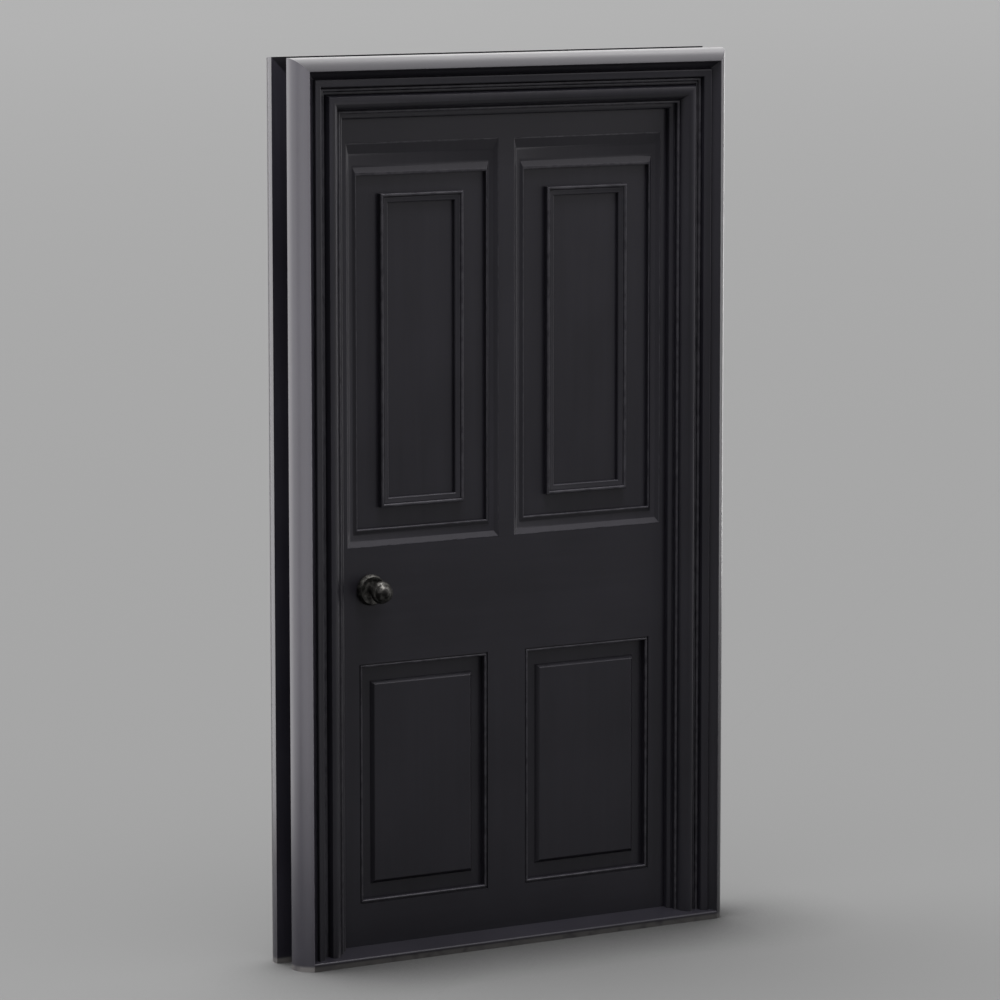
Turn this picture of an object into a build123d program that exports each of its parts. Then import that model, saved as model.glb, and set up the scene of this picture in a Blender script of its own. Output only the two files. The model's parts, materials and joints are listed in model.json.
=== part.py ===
from build123d import *

import os

# A four-panel door leaf hung in a moulded frame, with its hinges, knobs and latch.
# Millimetres. +Z is up, +Y is the side the leaf opens to, and the hinges are at +X.
# The origin is on the floor, midway between the jambs and between the two wall faces.

# Leaf
leaf_width = 928.0
leaf_height = 1981.0
leaf_thickness = 57.0
stile_width = 57.3
muntin_width = 104.4
top_rail_width = 144.5
lock_rail_width = 320.0
bottom_rail_width = 106.0
lower_opening_height = 577.4
tenon_length = 40.0
tenon_thickness = 19.0
tenon_shoulder = 25.0
muntin_tenon_length = 30.0
side_gap = 3.0
head_gap = 3.0
floor_gap = 3.0

# Panels and the mouldings round them
sink_depth = 16.0
tongue_thickness = 13.0
tongue_length = 10.0
tongue_play = 2.0
splay_side_width = 30.6
splay_top_width = 78.0
splay_bottom_width = 42.4
inner_bead_width = 22.3
inner_bead_height = 15.0
inner_bead_side_margin = 64.0
inner_bead_top_margin = 43.5
inner_bead_bottom_margin = 48.6
flush_bead_width = 9.0
rear_bead_width = 14.0
field_side_margin = 37.0
field_end_margin = 44.0
field_height = 10.0
field_bevel = 8.0
field_round = 2.5
mitre_gap = 0.05

# Frame
wall_depth = 72.0
jamb_thickness = 32.0
leaf_setback = 10.0
stop_width = 14.0
stop_lap = 7.0
stop_gap = 0.8
casing_width = 83.0
casing_thickness = 46.0
backband_width = 48.5
backband_thickness = 57.0
rear_margin = 10.5
sill_front_height = 18.5
sill_back_height = 31.5
sill_rebate_height = 24.0
sill_nosing_radius = 5.0
fixing_hole_radius = 4.0
fixing_low = 500.0
fixing_high = 1600.0

# Hinges
hinge_height = 100.0
hinge_plate_depth = 36.0
hinge_plate_thickness = 3.0
knuckle_count = 5
knuckle_radius = 7.5
knuckle_gap = 0.5
pin_radius = 4.0
pin_tip_radius = 5.5
pin_tip_height = 4.0
pin_tip_round = 2.0
upper_hinge_drop = 200.0
lower_hinge_rise = 230.0
middle_hinge_share = 0.58

# Wood screws
screw_head_radius = 4.2
screw_head_depth = 2.4
screw_shank_radius = 2.1
hinge_screw_length = 24.0
latch_screw_length = 13.0
screw_point = 4.0
hinge_screw_pitch = 34.0
hinge_screw_stagger = 5.0
screw_play = 0.1

# Knobs and roses
knob_backset = 88.0
knob_rise = 16.1
knob_radius = 27.0
knob_length = 85.0
knob_seat_gap = 1.0
rose_radius = 37.0
rose_height = 15.0
neck_radius = 11.0
spindle_width = 8.0
spindle_play = 0.1
spindle_bite = 50.0
spindle_hole_radius = 8.0

# Latch
case_thickness = 16.0
case_wall = 2.0
case_reach = 32.0
case_rise = 36.0
case_drop = 22.0
faceplate_width = 22.0
faceplate_height = 140.0
faceplate_thickness = 3.0
bolt_rise = 20.0
bolt_height = 20.0
bolt_throw = 12.0
bolt_tip_flat = 3.0
bolt_head_length = 28.0
bolt_tail_width = 6.0
bolt_play = 0.3
lug_length = 8.0
lug_lead = 4.5
lug_drop = 8.5
hub_radius = 9.0
arm_width = 6.0
arm_reach = 15.0
strike_thickness = 2.0
strike_height = 90.0
strike_lead = 12.0
keep_depth = 14.0
keep_play = 1.5
plate_screw_inset = 11.0

# Clearances
running_clearance = 0.05
pocket_play = 0.3

# Mouldings are drawn in shares of their width and height, as a chain of steps from the foot of
# one edge to the foot of the other. A step is a straight run to one point, or an arc through one
# point to another.
architrave_shares = (
    ((0, 0.33),),
    ((0.036, 0.42), (0.078, 0.39)),
    ((0.09, 0.37),),
    ((0.27, 0.79), (0.47, 0.855)),
    ((0.488, 0.8),),
    ((0.556, 0.5),),
    ((0.578, 0.5),),
    ((0.578, 0.59),),
    ((0.62, 0.59),),
    ((0.636, 0.55),),
    ((0.69, 0.68), (0.738, 0.61)),
    ((0.753, 0.826),),
    ((0.771, 0.896), (0.807, 0.926)),
    ((0.934, 0.991),),
    ((0.967, 0.987), (0.982, 0.935)),
    ((1, 0.815),),
    ((1, 0),),
)
backband_shares = (
    ((0, 0.658),),
    ((0.206, 0.807), (0.371, 1)),
    ((0.829, 0.658), (1, 0.16)),
    ((1, 0),),
)
stop_shares = (
    ((0, 1),),
    ((0.3, 1),),
    ((0.8, 0.86), (1, 0.45)),
    ((1, 0),),
)
splay_shares = (
    ((0, 1),),
    ((0.36, 0.5),),
    ((0.72, 0.25),),
    ((0.92, 0.66),),
    ((0.965, 0.72), (1, 0.6)),
    ((1, 0),),
)
inner_bead_shares = (
    ((0, 0.75),),
    ((0.17, 1), (0.36, 0.8)),
    ((0.4, 0.7),),
    ((0.44, 0.78),),
    ((0.8, 0.66),),
    ((0.95, 0.58), (1, 0.4)),
    ((1, 0),),
)
flush_bead_shares = (
    ((0, 0.8),),
    ((0.3, 0.8),),
    ((0.34, 0.86),),
    ((0.67, 1), (1, 0.84)),
    ((1, 0),),
)
rear_bead_shares = (
    ((0, 1),),
    ((0.15, 1),),
    ((0.15, 0.9),),
    ((0.68, 0.7), (0.9, 0.2)),
    ((0.9, 0.1),),
    ((1, 0.1),),
    ((1, 0),),
)

# Turned pieces are drawn the same way, in shares of their radius and of their length.
rose_shares = (
    ((1, 0),),
    ((1, 0.2),),
    ((0.97, 0.62), (0.9, 0.92)),
    ((0.87, 1), (0.83, 0.94)),
    ((0.6, 0.78),),
    ((0.46, 0.86),),
)
# The knob's body is one smooth curve from its neck to the groove behind its cap.
knob_body_shares = ((0.41, 0.38), (0.66, 0.46), (0.94, 0.55), (1, 0.63), (0.95, 0.71), (0.84, 0.75))
knob_neck_share = 0.3
knob_cap_shares = (0.86, 0.78)

# Places that follow from the sizes
jamb_face = leaf_width / 2 + side_gap
jamb_back = jamb_face + jamb_thickness
wall_front = -wall_depth / 2
wall_back = wall_depth / 2
leaf_edge = leaf_width / 2
leaf_front = wall_front + leaf_setback
leaf_back = leaf_front + leaf_thickness
leaf_middle = (leaf_front + leaf_back) / 2
leaf_bottom = sill_rebate_height + floor_gap
leaf_top = leaf_bottom + leaf_height
head_face = leaf_top + head_gap
crest_front = wall_front - backband_thickness
surround_width = casing_width + backband_width
panel_front = leaf_front + sink_depth
panel_back = leaf_back - sink_depth
opening_inner = muntin_width / 2
opening_outer = leaf_edge - stile_width
lower_low = leaf_bottom + bottom_rail_width
lower_high = lower_low + lower_opening_height
upper_low = lower_high + lock_rail_width
upper_high = leaf_top - top_rail_width
lower_opening = ((opening_inner, lower_low), (opening_outer, lower_high))
upper_opening = ((opening_inner, upper_low), (opening_outer, upper_high))
groove_depth = tongue_length + tongue_play
pin_x = (leaf_edge + jamb_face) / 2
pin_y = wall_back + knuckle_radius + knuckle_gap
lower_hinge = leaf_bottom + lower_hinge_rise
upper_hinge = leaf_top - upper_hinge_drop
middle_hinge = lower_hinge + middle_hinge_share * (upper_hinge - lower_hinge)
hinge_places = {"lower": lower_hinge, "middle": middle_hinge, "upper": upper_hinge}
plate_edge = leaf_back - hinge_plate_depth
knob_x = -leaf_edge + knob_backset
knob_height = (lower_high + upper_low) / 2 + knob_rise
bolt_z = knob_height + bolt_rise
case_front = -leaf_edge + faceplate_thickness
case_back = knob_x + case_reach
bolt_thickness = case_thickness - 2 * case_wall - 2 * bolt_play

os.makedirs("parts", exist_ok=True)


def finish(piece, name):
    """Label a finished piece and write it to its own file."""
    piece.part.label = name
    export_step(piece.part, f"parts/{name}.step")


def block(low, high, mode=Mode.ADD):
    """A box between two opposite corners, in the part being built."""
    size = Vector(*high) - Vector(*low)
    with Locations((Vector(*low) + Vector(*high)) / 2):
        Box(size.X, size.Y, size.Z, mode=mode)


def outline(step_shares, width, height, start_share=0):
    """Draw a moulding's or a turning's outline, from its start to its last point."""
    start = (start_share * width, 0)
    here = start
    for step in step_shares:
        places = [(across * width, up * height) for across, up in step]
        if len(places) == 1:
            Line(here, places[0])
        else:
            ThreePointArc(here, *places)
        here = places[-1]
    return start, here


def moulding_outline(step_shares, width, height):
    """Draw the closed section of a moulding."""
    start, end = outline(step_shares, width, height)
    Line(end, start)


# Lengths of the surround run up the hinge jamb and along the head, and meet in a mitre.
mitre = Plane(origin=(jamb_face, 0, head_face), x_dir=(0, 1, 0), z_dir=(1, 0, -1))
other_mitre = Plane(origin=(-jamb_face, 0, head_face), x_dir=(0, 1, 0), z_dir=(-1, 0, -1))


def surround_leg(step_shares, width, height, foot, out=0.0):
    """A length up the hinge jamb, its foot on the plane Y = foot, cut at the mitre."""
    start = (jamb_face + out, foot, 0)
    with BuildPart() as leg:
        with BuildSketch(Plane(origin=start, x_dir=(1, 0, 0), z_dir=(0, 0, -1))):
            with BuildLine():
                moulding_outline(step_shares, width, height)
            make_face()
        extrude(amount=-(head_face + surround_width))
        split(bisect_by=mitre, keep=Keep.TOP)
    return leg


def surround_head(step_shares, width, height, foot, out=0.0):
    """The length along the head that meets two such legs."""
    reach = jamb_face + surround_width
    start = (-reach, foot, head_face + out)
    with BuildPart() as head:
        with BuildSketch(Plane(origin=start, x_dir=(0, 0, 1), z_dir=(1, 0, 0))):
            with BuildLine():
                moulding_outline(step_shares, width, height)
            make_face()
        extrude(amount=2 * reach)
        split(bisect_by=mitre, keep=Keep.BOTTOM)
        split(bisect_by=other_mitre, keep=Keep.BOTTOM)
    return head


def mirrored(piece, about):
    """The same piece on the other hand."""
    with BuildPart() as copy:
        mirror(piece.part, about=about)
    return copy


def fitted(piece, *cutters):
    """The piece with the seats of others cut out of it."""
    with BuildPart() as cut:
        add(piece.part)
        for cutter in cutters:
            add(cutter.part, mode=Mode.SUBTRACT)
    return cut


def panel_length(start, end, first, last, width, step_shares, height):
    """One mitred length from start to end, its moulding standing inwards and towards -Y."""
    run = (end - start).normalized()
    into = Vector(-run.Z, 0, run.X)
    first_mitre = Plane(origin=start + run * mitre_gap, x_dir=(0, 1, 0), z_dir=first)
    last_mitre = Plane(origin=end - run * mitre_gap, x_dir=(0, 1, 0), z_dir=last)
    with BuildPart() as length:
        with BuildSketch(Plane(origin=start, x_dir=into, z_dir=run)):
            with BuildLine():
                moulding_outline(step_shares, width, height)
            make_face()
        extrude(amount=(end - start).length)
        split(bisect_by=first_mitre, keep=Keep.TOP)
        split(bisect_by=last_mitre, keep=Keep.TOP)
    return length


def panel_frame(low, high, widths, step_shares, height, foot):
    """Four mitred lengths inside a rectangle: bottom, far side, top and near side."""
    bottom, far, top, near = widths
    outer = (
        Vector(low[0], foot, low[1]),
        Vector(high[0], foot, low[1]),
        Vector(high[0], foot, high[1]),
        Vector(low[0], foot, high[1]),
    )
    inward = (
        Vector(near, 0, bottom),
        Vector(-far, 0, bottom),
        Vector(-far, 0, -top),
        Vector(near, 0, -top),
    )
    lengths = []
    for side, width in enumerate(widths):
        after = (side + 1) % len(widths)
        first = Vector(inward[side].Z, 0, -inward[side].X)
        last = Vector(-inward[after].Z, 0, inward[after].X)
        corners = (outer[side], outer[after])
        lengths.append(panel_length(*corners, first, last, width, step_shares, height))
    with BuildPart() as frame:
        for length in lengths:
            add(length.part)
    return frame


def wood_screw(head, direction, length, play=0.0):
    """A countersunk screw, driven along X from its head's face. With play, the hole for it."""
    along = Vector(direction, 0, 0)
    across = Vector(0, 0, 1)
    with BuildPart() as screw:
        with BuildSketch(Plane(origin=head, x_dir=across, z_dir=across.cross(along))):
            with BuildLine():
                Polyline(
                    (0, 0),
                    (screw_head_radius + play, 0),
                    (screw_shank_radius + play, screw_head_depth),
                    (screw_shank_radius + play, length - screw_point),
                    (0, length + play),
                    close=True,
                )
            make_face()
        revolve(axis=Axis(head, along))
    return screw


def screw_group(places, direction, length, play=0.0):
    """Several screws as one piece."""
    screws = [wood_screw(place, direction, length, play) for place in places]
    with BuildPart() as group:
        for screw in screws:
            add(screw.part)
    return group


# Backbands: the crest and outer round of the surround, down to the floor
backband = (backband_shares, backband_width, backband_thickness, wall_front, casing_width)
backband_leg = surround_leg(*backband)
backband_head = surround_head(*backband)
backband_other_leg = mirrored(backband_leg, Plane.YZ)

# Threshold: weathered top, rounded nosing, and a rebate under the leaf
sill_reach = jamb_face + casing_width + backband_shares[1][1][0] * backband_width
sill_step = leaf_front - stop_gap
with BuildPart() as threshold:
    with BuildSketch(Plane(origin=(-sill_reach, 0, 0), x_dir=(0, 1, 0), z_dir=(1, 0, 0))):
        with BuildLine():
            Polyline(
                (crest_front, 0),
                (crest_front, sill_front_height),
                (sill_step, sill_back_height),
                (sill_step, sill_rebate_height),
                (wall_back, sill_rebate_height),
                (wall_back, 0),
                close=True,
            )
        make_face()
    extrude(amount=2 * sill_reach)
    nosing = threshold.edges().filter_by(Axis.X).group_by(Axis.Y)[0].sort_by(Axis.Z)[-1]
    fillet(nosing, radius=sill_nosing_radius)
    for hand in (-1, 1):
        block(
            (min(hand * jamb_back, hand * sill_reach), wall_front, 0),
            (max(hand * jamb_back, hand * sill_reach), wall_back, sill_back_height),
            mode=Mode.SUBTRACT,
        )
    add(backband_leg.part, mode=Mode.SUBTRACT)
    add(backband_other_leg.part, mode=Mode.SUBTRACT)
finish(threshold, "threshold")

# Casings inside the backbands; the rear ones stop short of the hinge knuckles
architrave = (architrave_shares, casing_width, casing_thickness, wall_front)
casing_leg = surround_leg(*architrave)
casing_head = surround_head(*architrave)
front_casing_leg = fitted(casing_leg, threshold)
with BuildPart() as rear_casing_leg:
    mirror(casing_leg.part, about=Plane.XZ)
    split(bisect_by=Plane.YZ.offset(jamb_face + rear_margin), keep=Keep.TOP)
with BuildPart() as rear_casing_head:
    mirror(casing_head.part, about=Plane.XZ)
    split(bisect_by=Plane.XY.offset(head_face + rear_margin), keep=Keep.TOP)

finish(mirrored(front_casing_leg, Plane.YZ), "front_casing_latch")
finish(front_casing_leg, "front_casing_hinge")
finish(casing_head, "front_casing_head")
finish(backband_other_leg, "front_backband_latch")
finish(backband_leg, "front_backband_hinge")
finish(backband_head, "front_backband_head")
finish(mirrored(rear_casing_leg, Plane.YZ), "rear_casing_latch")
finish(rear_casing_leg, "rear_casing_hinge")
finish(rear_casing_head, "rear_casing_head")
finish(mirrored(backband_other_leg, Plane.XZ), "rear_backband_latch")
finish(mirrored(backband_leg, Plane.XZ), "rear_backband_hinge")
finish(mirrored(backband_head, Plane.XZ), "rear_backband_head")

# Stops: planted on the jambs in front of the leaf, with a bead on the outer edge
stop_foot = leaf_front - stop_gap
stop = (stop_shares, -stop_width, stop_lap + stop_foot - wall_front, stop_foot)
hinge_stop = fitted(surround_leg(*stop), threshold)
finish(mirrored(hinge_stop, Plane.YZ), "latch_stop")
finish(hinge_stop, "hinge_stop")
finish(surround_head(*stop), "head_stop")

# Hinge leaves with their knuckles, pins and screws
knuckle_pitch = hinge_height / knuckle_count


def hinge_leaf(middle, near, far, edge, own, holes):
    """A hinge plate between X = near and X = far, with every second knuckle of the barrel."""
    first = middle - hinge_height / 2 + knuckle_pitch / 2
    with BuildPart() as leaf:
        block((near, edge, middle - hinge_height / 2), (far, pin_y, middle + hinge_height / 2))
        for number in range(knuckle_count):
            with Locations((pin_x, pin_y, first + number * knuckle_pitch)):
                if number % 2 == own:
                    Cylinder(knuckle_radius, knuckle_pitch - knuckle_gap)
                else:
                    Cylinder(knuckle_radius + knuckle_gap, knuckle_pitch, mode=Mode.SUBTRACT)
        with Locations((pin_x, pin_y, middle)):
            Cylinder(pin_radius + running_clearance, hinge_height, mode=Mode.SUBTRACT)
        add(holes.part, mode=Mode.SUBTRACT)
    return leaf


def hinge_screw_places(face, middle):
    """Three staggered screws in a hinge plate."""
    centre = plate_edge + hinge_plate_depth / 2
    return [
        (face, centre - hinge_screw_stagger, middle - hinge_screw_pitch),
        (face, centre + hinge_screw_stagger, middle),
        (face, centre - hinge_screw_stagger, middle + hinge_screw_pitch),
    ]


door_places = []
frame_places = []
for middle in hinge_places.values():
    door_places += hinge_screw_places(leaf_edge, middle)
    frame_places += hinge_screw_places(jamb_face, middle)
door_holes = screw_group(door_places, -1, hinge_screw_length, screw_play)
frame_holes = screw_group(frame_places, 1, hinge_screw_length, screw_play)
finish(screw_group(door_places, -1, hinge_screw_length), "hinge_door_screws")
finish(screw_group(frame_places, 1, hinge_screw_length), "hinge_frame_screws")

door_leaves = []
frame_leaves = []
for place, middle in hinge_places.items():
    sunk = leaf_edge - hinge_plate_thickness
    let_in = jamb_face + hinge_plate_thickness
    door_leaves.append(hinge_leaf(middle, sunk, leaf_edge, plate_edge, 1, door_holes))
    frame_leaves.append(hinge_leaf(middle, jamb_face, let_in, plate_edge, 0, frame_holes))
    finish(door_leaves[-1], f"hinge_door_leaf_{place}")
    finish(frame_leaves[-1], f"hinge_frame_leaf_{place}")



def pin_tip(middle, hand):
    """A button on the upper or the lower end of a hinge pin."""
    with BuildPart() as tip:
        with Locations((pin_x, pin_y, middle + hand * (hinge_height + pin_tip_height) / 2)):
            Cylinder(pin_tip_radius, pin_tip_height)
        ends = tip.faces().sort_by(Axis.Z)
        fillet(ends[-1 if hand > 0 else 0].edges(), radius=pin_tip_round)
    return tip


pin_tips = [pin_tip(middle, hand) for middle in hinge_places.values() for hand in (-1, 1)]
with BuildPart() as hinge_pins:
    for middle in hinge_places.values():
        with Locations((pin_x, pin_y, middle)):
            Cylinder(pin_radius, hinge_height)
    for tip in pin_tips:
        add(tip.part)
finish(hinge_pins, "hinge_pins")

# Latch: a hollow case behind a faceplate, a follower, and a bolt with a tail and a lug
bolt_front = leaf_middle - bolt_thickness / 2
bolt_back = leaf_middle + bolt_thickness / 2
bolt_low = bolt_z - bolt_height / 2
bolt_high = bolt_z + bolt_height / 2
bolt_tip = -leaf_edge - bolt_throw
bolt_inner = -leaf_edge + bolt_head_length
lug_near = knob_x + lug_lead
tail_half = bolt_tail_width / 2
case_low = Vector(case_front, leaf_middle - case_thickness / 2, knob_height - case_drop)
case_high = Vector(case_back, leaf_middle + case_thickness / 2, knob_height + case_rise)
wall = Vector(case_wall, case_wall, case_wall)
across_leaf = Plane(origin=(knob_x, leaf_middle, knob_height), x_dir=(1, 0, 0), z_dir=(0, -1, 0))

with BuildPart() as latch_case:
    block(case_low, case_high)
    block(case_low + wall, case_high - wall, mode=Mode.SUBTRACT)
    with BuildSketch(across_leaf):
        Circle(hub_radius + running_clearance)
    extrude(amount=case_thickness, both=True, mode=Mode.SUBTRACT)
    block(
        (case_front, bolt_front - bolt_play, bolt_low - bolt_play),
        (case_front + case_wall, bolt_back + bolt_play, bolt_high + bolt_play),
        mode=Mode.SUBTRACT,
    )
finish(latch_case, "latch_case")

faceplate_half = faceplate_height / 2
plate_screw_places = [
    (-leaf_edge, leaf_middle, bolt_z + hand * (faceplate_half - plate_screw_inset)) for hand in (-1, 1)
]
plate_holes = screw_group(plate_screw_places, 1, latch_screw_length, screw_play)
with BuildPart() as latch_faceplate:
    block(
        (-leaf_edge, leaf_middle - faceplate_width / 2, bolt_z - faceplate_half),
        (case_front, leaf_middle + faceplate_width / 2, bolt_z + faceplate_half),
    )
    block(
        (-leaf_edge, bolt_front - bolt_play, bolt_low - bolt_play),
        (case_front, bolt_back + bolt_play, bolt_high + bolt_play),
        mode=Mode.SUBTRACT,
    )
    add(plate_holes.part, mode=Mode.SUBTRACT)
finish(latch_faceplate, "latch_faceplate")
finish(screw_group(plate_screw_places, 1, latch_screw_length), "faceplate_screws")

with BuildPart() as latch_bolt:
    with BuildSketch(Plane.XY.offset(bolt_low)):
        with BuildLine():
            Polyline(
                (bolt_inner, bolt_front),
                (-leaf_edge, bolt_front),
                (bolt_tip, bolt_back - bolt_tip_flat),
                (bolt_tip, bolt_back),
                (bolt_inner, bolt_back),
                close=True,
            )
        make_face()
    extrude(amount=bolt_height)
    block(
        (bolt_inner, leaf_middle - tail_half, bolt_z - tail_half),
        (lug_near + lug_length, leaf_middle + tail_half, bolt_z + tail_half),
    )
    block(
        (lug_near, leaf_middle - tail_half, bolt_z - tail_half - lug_drop),
        (lug_near + lug_length, leaf_middle + tail_half, bolt_z - tail_half),
    )
finish(latch_bolt, "latch_bolt")

spindle_half = spindle_width / 2
with BuildPart() as spindle:
    block(
        (knob_x - spindle_half, leaf_front - spindle_bite, knob_height - spindle_half),
        (knob_x + spindle_half, leaf_back + spindle_bite, knob_height + spindle_half),
    )
finish(spindle, "spindle")

spindle_hole_half = spindle_half + spindle_play
with BuildPart() as spindle_hole:
    block(
        (
            knob_x - spindle_hole_half,
            leaf_front - spindle_bite - spindle_play,
            knob_height - spindle_hole_half,
        ),
        (
            knob_x + spindle_hole_half,
            leaf_back + spindle_bite + spindle_play,
            knob_height + spindle_hole_half,
        ),
    )

with BuildPart() as latch_follower:
    with BuildSketch(across_leaf):
        Circle(hub_radius)
    extrude(amount=case_thickness / 2, both=True)
    block(
        (knob_x - arm_width / 2, leaf_middle - tail_half, knob_height),
        (knob_x + arm_width / 2, leaf_middle + tail_half, knob_height + arm_reach),
    )
    add(spindle_hole.part, mode=Mode.SUBTRACT)
finish(latch_follower, "latch_follower")

# Knobs and roses, turned; the rear ones mirror the front ones about the middle of the leaf
turning = Plane(origin=(knob_x, leaf_front, knob_height), x_dir=(1, 0, 0), z_dir=(0, 0, -1))
turning_axis = Axis((knob_x, leaf_front, knob_height), (0, -1, 0))
leaf_mirror = Plane.XZ.offset(-leaf_middle)

with BuildPart() as front_rose:
    bore = neck_radius + running_clearance
    with BuildSketch(turning):
        with BuildLine():
            start, end = outline(rose_shares, rose_radius, rose_height, bore / rose_radius)
            Polyline(end, (bore, end[1]), start)
        make_face()
    revolve(axis=turning_axis)
finish(front_rose, "front_rose")
finish(mirrored(front_rose, leaf_mirror), "rear_rose")

neck_end = (neck_radius, knob_neck_share * knob_length)
knob_body = [(across * knob_radius, up * knob_length) for across, up in knob_body_shares]
cap_foot = (knob_cap_shares[0] * knob_radius, knob_cap_shares[1] * knob_length)
cap_rise = knob_length - cap_foot[1]
cap_radius = (cap_foot[0] ** 2 + cap_rise**2) / (2 * cap_rise)
with BuildPart() as front_knob:
    with BuildSketch(turning):
        with BuildLine():
            Polyline((0, knob_length), (0, knob_seat_gap), (neck_radius, knob_seat_gap), neck_end)
            Spline(neck_end, *knob_body)
            Line(knob_body[-1], cap_foot)
            RadiusArc(cap_foot, (0, knob_length), -cap_radius)
        make_face()
    revolve(axis=turning_axis)
    add(spindle_hole.part, mode=Mode.SUBTRACT)
finish(front_knob, "front_knob")
finish(mirrored(front_knob, leaf_mirror), "rear_knob")

# Jambs, with seats for the hinges and the strike plate, and holes to fix them to a wall
with BuildPart() as fixing_holes:
    for height in (fixing_low, fixing_high):
        with BuildSketch(Plane.YZ.offset(-jamb_back)):
            with Locations((0, height)):
                Circle(fixing_hole_radius)
    extrude(amount=2 * jamb_back)

strike_half = strike_height / 2
strike_screw_places = [
    (-jamb_face, leaf_middle, bolt_z + hand * (strike_half - plate_screw_inset)) for hand in (-1, 1)
]
strike_holes = screw_group(strike_screw_places, -1, latch_screw_length, screw_play)
with BuildPart() as keep:
    block(
        (-jamb_face - keep_depth, bolt_front - keep_play, bolt_low - keep_play),
        (-jamb_face, bolt_back + keep_play, bolt_high + keep_play),
    )
with BuildPart() as strike_plate:
    block(
        (-jamb_face - strike_thickness, bolt_front - strike_lead, bolt_z - strike_half),
        (-jamb_face, wall_back, bolt_z + strike_half),
    )
    add(keep.part, mode=Mode.SUBTRACT)
    add(strike_holes.part, mode=Mode.SUBTRACT)
finish(strike_plate, "strike_plate")
finish(screw_group(strike_screw_places, -1, latch_screw_length), "strike_screws")

with BuildPart() as jamb:
    block((jamb_face, wall_front, 0), (jamb_back, wall_back, head_face))
    add(threshold.part, mode=Mode.SUBTRACT)
    add(fixing_holes.part, mode=Mode.SUBTRACT)
finish(fitted(mirrored(jamb, Plane.YZ), keep, strike_plate, strike_holes), "latch_jamb")
finish(fitted(jamb, frame_holes, *frame_leaves), "hinge_jamb")
with BuildPart() as head_jamb:
    block((-jamb_back, wall_front, head_face), (jamb_back, wall_back, head_face + jamb_thickness))
finish(head_jamb, "head_jamb")


# Framing of the leaf: grooves for the panels' tongues, rebates for the splayed mouldings
splay_low = (opening_inner - splay_side_width, upper_low - splay_bottom_width)
splay_high = (opening_outer + splay_side_width, upper_high + splay_top_width)
tongue_front = leaf_middle - tongue_thickness / 2
tongue_back = leaf_middle + tongue_thickness / 2
tenon_front = leaf_middle - tenon_thickness / 2
tenon_back = leaf_middle + tenon_thickness / 2

with BuildPart() as hinge_side_cuts:
    for low, high in (lower_opening, upper_opening):
        block(
            (low[0] - groove_depth, tongue_front, low[1] - groove_depth),
            (high[0] + groove_depth, tongue_back, high[1] + groove_depth),
        )
    block(
        (splay_low[0], leaf_front, splay_low[1]),
        (splay_high[0], panel_front, splay_high[1]),
    )
latch_side_cuts = mirrored(hinge_side_cuts, Plane.YZ)


def muntin(low, high):
    """The upright between two panels, tenoned into the rails."""
    inset = tenon_shoulder
    with BuildPart() as upright:
        block((-opening_inner, leaf_front, low), (opening_inner, leaf_back, high))
        block(
            (inset - opening_inner, tenon_front, low - muntin_tenon_length),
            (opening_inner - inset, tenon_back, high + muntin_tenon_length),
        )
        add(hinge_side_cuts.part, mode=Mode.SUBTRACT)
        add(latch_side_cuts.part, mode=Mode.SUBTRACT)
    return upright


def rail(low, high, *uprights):
    """A rail between the stiles, tenoned into them, with mortises for the muntins."""
    with BuildPart() as crosspiece:
        block((-opening_outer, leaf_front, low), (opening_outer, leaf_back, high))
        block(
            (-opening_outer - tenon_length, tenon_front, low + tenon_shoulder),
            (opening_outer + tenon_length, tenon_back, high - tenon_shoulder),
        )
        add(hinge_side_cuts.part, mode=Mode.SUBTRACT)
        add(latch_side_cuts.part, mode=Mode.SUBTRACT)
        for upright in uprights:
            add(upright.part, mode=Mode.SUBTRACT)
    return crosspiece


with BuildPart() as latch_pocket:
    play = Vector(pocket_play, pocket_play, pocket_play)
    block(case_low - play, case_high + play)
    block(
        (-leaf_edge, bolt_front - bolt_play, bolt_low - bolt_play),
        (case_front, bolt_back + bolt_play, bolt_high + bolt_play),
    )
    with BuildSketch(across_leaf):
        Circle(spindle_hole_radius)
    extrude(amount=leaf_thickness, both=True)

lower_muntin = muntin(lower_low, lower_high)
upper_muntin = muntin(upper_low, upper_high)
top_rail = fitted(rail(upper_high, leaf_top, upper_muntin), door_holes)
bottom_rail = fitted(rail(leaf_bottom, lower_low, lower_muntin), door_holes)
middle_rail = rail(lower_high, upper_low, lower_muntin, upper_muntin)
lock_rail = fitted(middle_rail, latch_pocket, plate_holes, door_holes)
finish(lower_muntin, "lower_muntin")
finish(upper_muntin, "upper_muntin")
finish(top_rail, "top_rail")
finish(lock_rail, "lock_rail")
finish(bottom_rail, "bottom_rail")

with BuildPart() as stile:
    block((opening_outer, leaf_front, leaf_bottom), (leaf_edge, leaf_back, leaf_top))
    add(hinge_side_cuts.part, mode=Mode.SUBTRACT)
rails = (top_rail, lock_rail, bottom_rail)
finish(fitted(stile, *rails, door_holes, *door_leaves), "hinge_stile")
latch_seats = (latch_pocket, latch_faceplate, plate_holes)
finish(fitted(mirrored(stile, Plane.YZ), *rails, *latch_seats), "latch_stile")


# Panels: flat above, with a raised and bevelled field below on both faces
def board(low, high):
    """A panel filling its opening, with a tongue all round."""
    with BuildPart() as panel:
        block((low[0], panel_front, low[1]), (high[0], panel_back, high[1]))
        block(
            (low[0] - tongue_length, tongue_front, low[1] - tongue_length),
            (high[0] + tongue_length, tongue_back, high[1] + tongue_length),
        )
    return panel


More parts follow.
